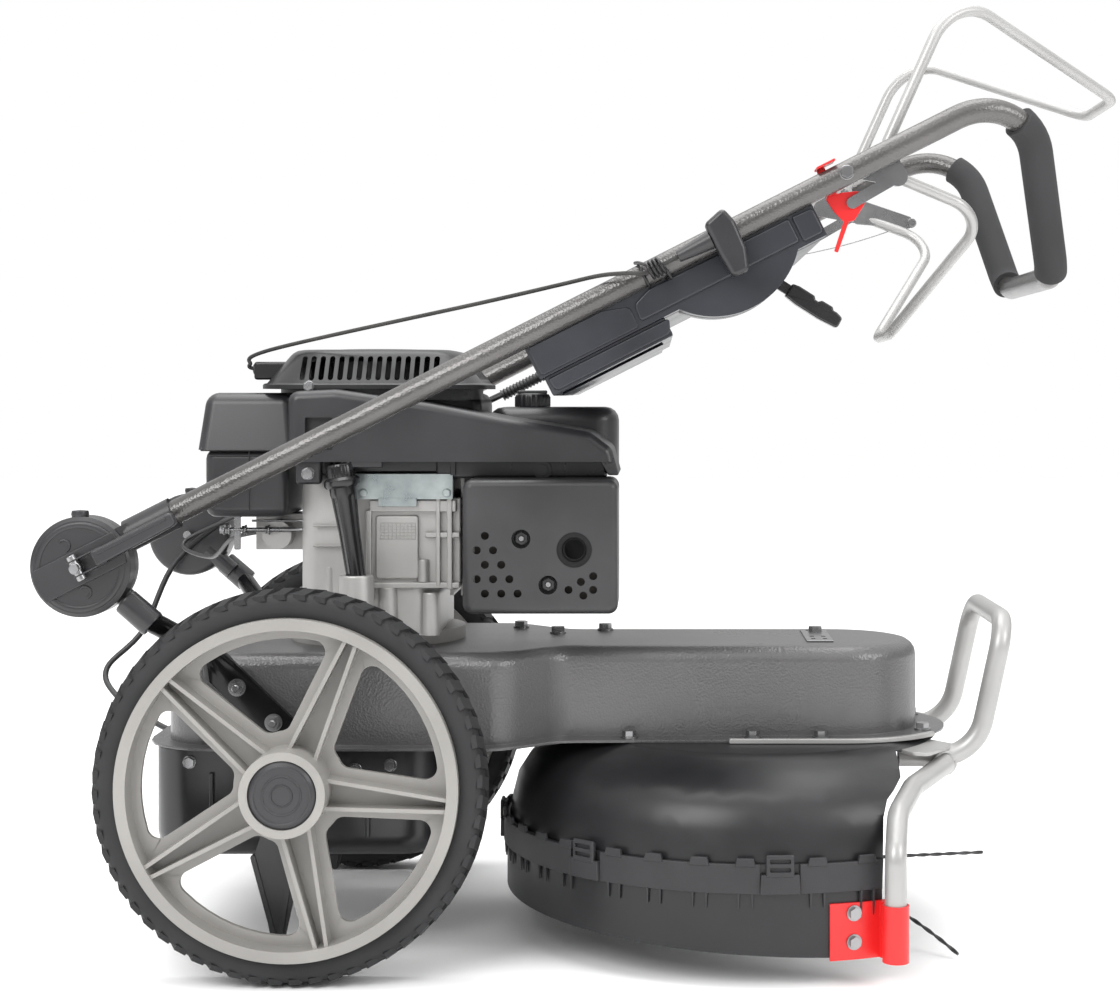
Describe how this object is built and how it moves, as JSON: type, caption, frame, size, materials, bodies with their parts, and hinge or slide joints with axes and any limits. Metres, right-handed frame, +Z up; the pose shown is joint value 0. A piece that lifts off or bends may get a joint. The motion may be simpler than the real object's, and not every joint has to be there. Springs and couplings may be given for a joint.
{
  "type": "wheeled string trimmer",
  "caption": "Walk-behind string trimmer on two spoked wheels: petrol engine on a steel deck, guarded line head in front and a handlebar folded forward over the engine.",
  "frame": {"origin": "on the floor under the cutting spindle, at the middle of the skid dish's flat pad", "axes": "+X towards the machine's front, +Y to its left as its operator stands, +Z up"},
  "size_m": [1.1853, 0.622, 1.0023],
  "materials": {
    "hammered_paint": "hammered dark grey paint",
    "black_plastic": "black moulded plastic",
    "console_plastic": "blue-black moulded plastic",
    "silver_paint": "silver grey paint",
    "black_paint": "black paint",
    "red_paint": "red paint",
    "steel": "plain or zinc plated steel",
    "cast_aluminium": "as-cast aluminium",
    "rim_plastic": "light warm grey plastic",
    "tyre_rubber": "black rubber",
    "foam": "black foam",
    "cord": "black cord and cable sheath",
    "line": "dark nylon line"
  },
  "bodies": {
    "chassis": {"deck_shell": "hammered_paint", "debris_guard": "black_plastic", "guard_skirt": "black_plastic", "skirt_strap": "black_plastic", "guard_brackets": "red_paint", "bumper_bar": "silver_paint", "transmission_cover": "black_plastic", "gearbox_housing": "cast_aluminium", "axle_shaft": "steel", "bearings": "steel", "lower_bars": "black_paint", "knuckle_bases": "black_plastic", "rear_skids": "black_paint", "fasteners": "steel", "spindle_housing": "cast_aluminium", "belts": "cord", "engine_block": "cast_aluminium", "cylinder_head": "cast_aluminium", "air_baffle": "steel", "engine_cowl": "black_plastic", "starter_cover": "black_plastic", "filter_base": "black_plastic", "filter_cover": "black_plastic", "carburettor": "cast_aluminium", "fuel_tank": "black_plastic", "oil_filler": "black_plastic", "muffler": "cast_aluminium", "muffler_guard": "black_paint", "starter_rope": "cord", "control_cables": "cord"},
    "crank": {"crankshaft": "steel", "flywheel": "cast_aluminium", "crank_pulley": "steel"},
    "cutter": {"spindle_shaft": "steel", "spindle_pulley": "steel", "trimmer_head": "black_plastic", "skid_dish": "black_plastic", "trimmer_lines": "line"},
    "gearbox_input": {"gearbox_pulley": "steel"},
    "wheel_right": {"tyre_right": "tyre_rubber", "rim_right": "rim_plastic", "hub_cap_right": "black_plastic"},
    "wheel_left": {"tyre_left": "tyre_rubber", "rim_left": "rim_plastic", "hub_cap_left": "black_plastic"},
    "handle": {"handlebar": "hammered_paint", "foam_grips": "foam", "knuckle_caps": "black_plastic", "console_housing": "console_plastic", "console_box": "console_plastic", "bail_brackets": "steel", "rope_guide": "black_paint"},
    "shifter": {"shift_lever": "black_plastic"},
    "engine_bail": {"upper_bail": "silver_paint"},
    "drive_bail": {"lower_bail": "silver_paint"},
    "latch": {"safety_latch": "red_paint"},
    "clamp_right": {"clamp_lever_right": "black_paint"},
    "clamp_left": {"clamp_lever_left": "black_paint"},
    "recoil_grip": {"starter_handle": "black_plastic"},
    "filler_cap": {"fuel_cap": "black_plastic"}
  },
  "joints": [
    {"name": "handle_fold", "type": "hinge", "parent": "chassis", "child": "handle", "pos_m": [-0.6955, 0, 0.421], "axis": [0, -1, 0], "range_deg": [0, 118], "deforming": ["starter_rope", "control_cables"]},
    {"name": "crank_spin", "type": "hinge", "parent": "chassis", "child": "crank", "pos_m": [-0.428, 0, 0], "axis": [0, 0, 1], "continuous": true},
    {"name": "cutter_spin", "type": "hinge", "parent": "chassis", "child": "cutter", "pos_m": [0, 0, 0], "axis": [0, 0, 1], "continuous": true},
    {"name": "gearbox_input_spin", "type": "hinge", "parent": "chassis", "child": "gearbox_input", "pos_m": [-0.556, 0, 0], "axis": [0, 0, 1], "continuous": true},
    {"name": "wheel_right_spin", "type": "hinge", "parent": "chassis", "child": "wheel_right", "pos_m": [-0.482, 0, 0.2], "axis": [0, 1, 0], "continuous": true},
    {"name": "wheel_left_spin", "type": "hinge", "parent": "chassis", "child": "wheel_left", "pos_m": [-0.482, 0, 0.2], "axis": [0, 1, 0], "continuous": true},
    {"name": "engine_bail_squeeze", "type": "hinge", "parent": "handle", "child": "engine_bail", "pos_m": [0.12205, 0, 0.84742], "axis": [0, 1, 0], "range_deg": [0, 44], "stiffness_Nm_per_rad": 3, "springref_deg": -34.38},
    {"name": "drive_bail_squeeze", "type": "hinge", "parent": "handle", "child": "drive_bail", "pos_m": [0.13603, 0, 0.81975], "axis": [0, -1, 0], "range_deg": [0, 44], "stiffness_Nm_per_rad": 3, "springref_deg": -34.38},
    {"name": "shift_swing", "type": "hinge", "parent": "handle", "child": "shifter", "pos_m": [-0.04749, -0.195, 0.75057], "axis": [0, 1, 0], "range_deg": [-14, 56]},
    {"name": "latch_press", "type": "hinge", "parent": "handle", "child": "latch", "pos_m": [0.08918, 0, 0.79273], "axis": [0, -1, 0], "range_deg": [0, 8], "stiffness_Nm_per_rad": 0.4, "springref_deg": -17.19},
    {"name": "clamp_right_open", "type": "hinge", "parent": "handle", "child": "clamp_right", "pos_m": [-0.6955, -0.27, 0.421], "axis": [0.454, 0, -0.891], "range_deg": [0, 100]},
    {"name": "clamp_left_open", "type": "hinge", "parent": "handle", "child": "clamp_left", "pos_m": [-0.6955, 0.27, 0.421], "axis": [-0.454, 0, 0.891], "range_deg": [0, 100]},
    {"name": "recoil_pull", "type": "slide", "parent": "handle", "child": "recoil_grip", "axis": [0.8926, 0, 0.4509], "range_m": [0, 0.3], "stiffness_N_per_m": 20, "springref_m": -0.3, "deforming": ["starter_rope"]},
    {"name": "fuel_cap_twist", "type": "hinge", "parent": "chassis", "child": "filler_cap", "pos_m": [-0.257, 0.062, 0], "axis": [0, 0, 1], "range_deg": [0, 90]}
  ],
  "couplings": [
    {"joint": "cutter_spin", "follows": "crank_spin", "ratio": 0.66667},
    {"joint": "gearbox_input_spin", "follows": "crank_spin", "ratio": 0.5}
  ]
}
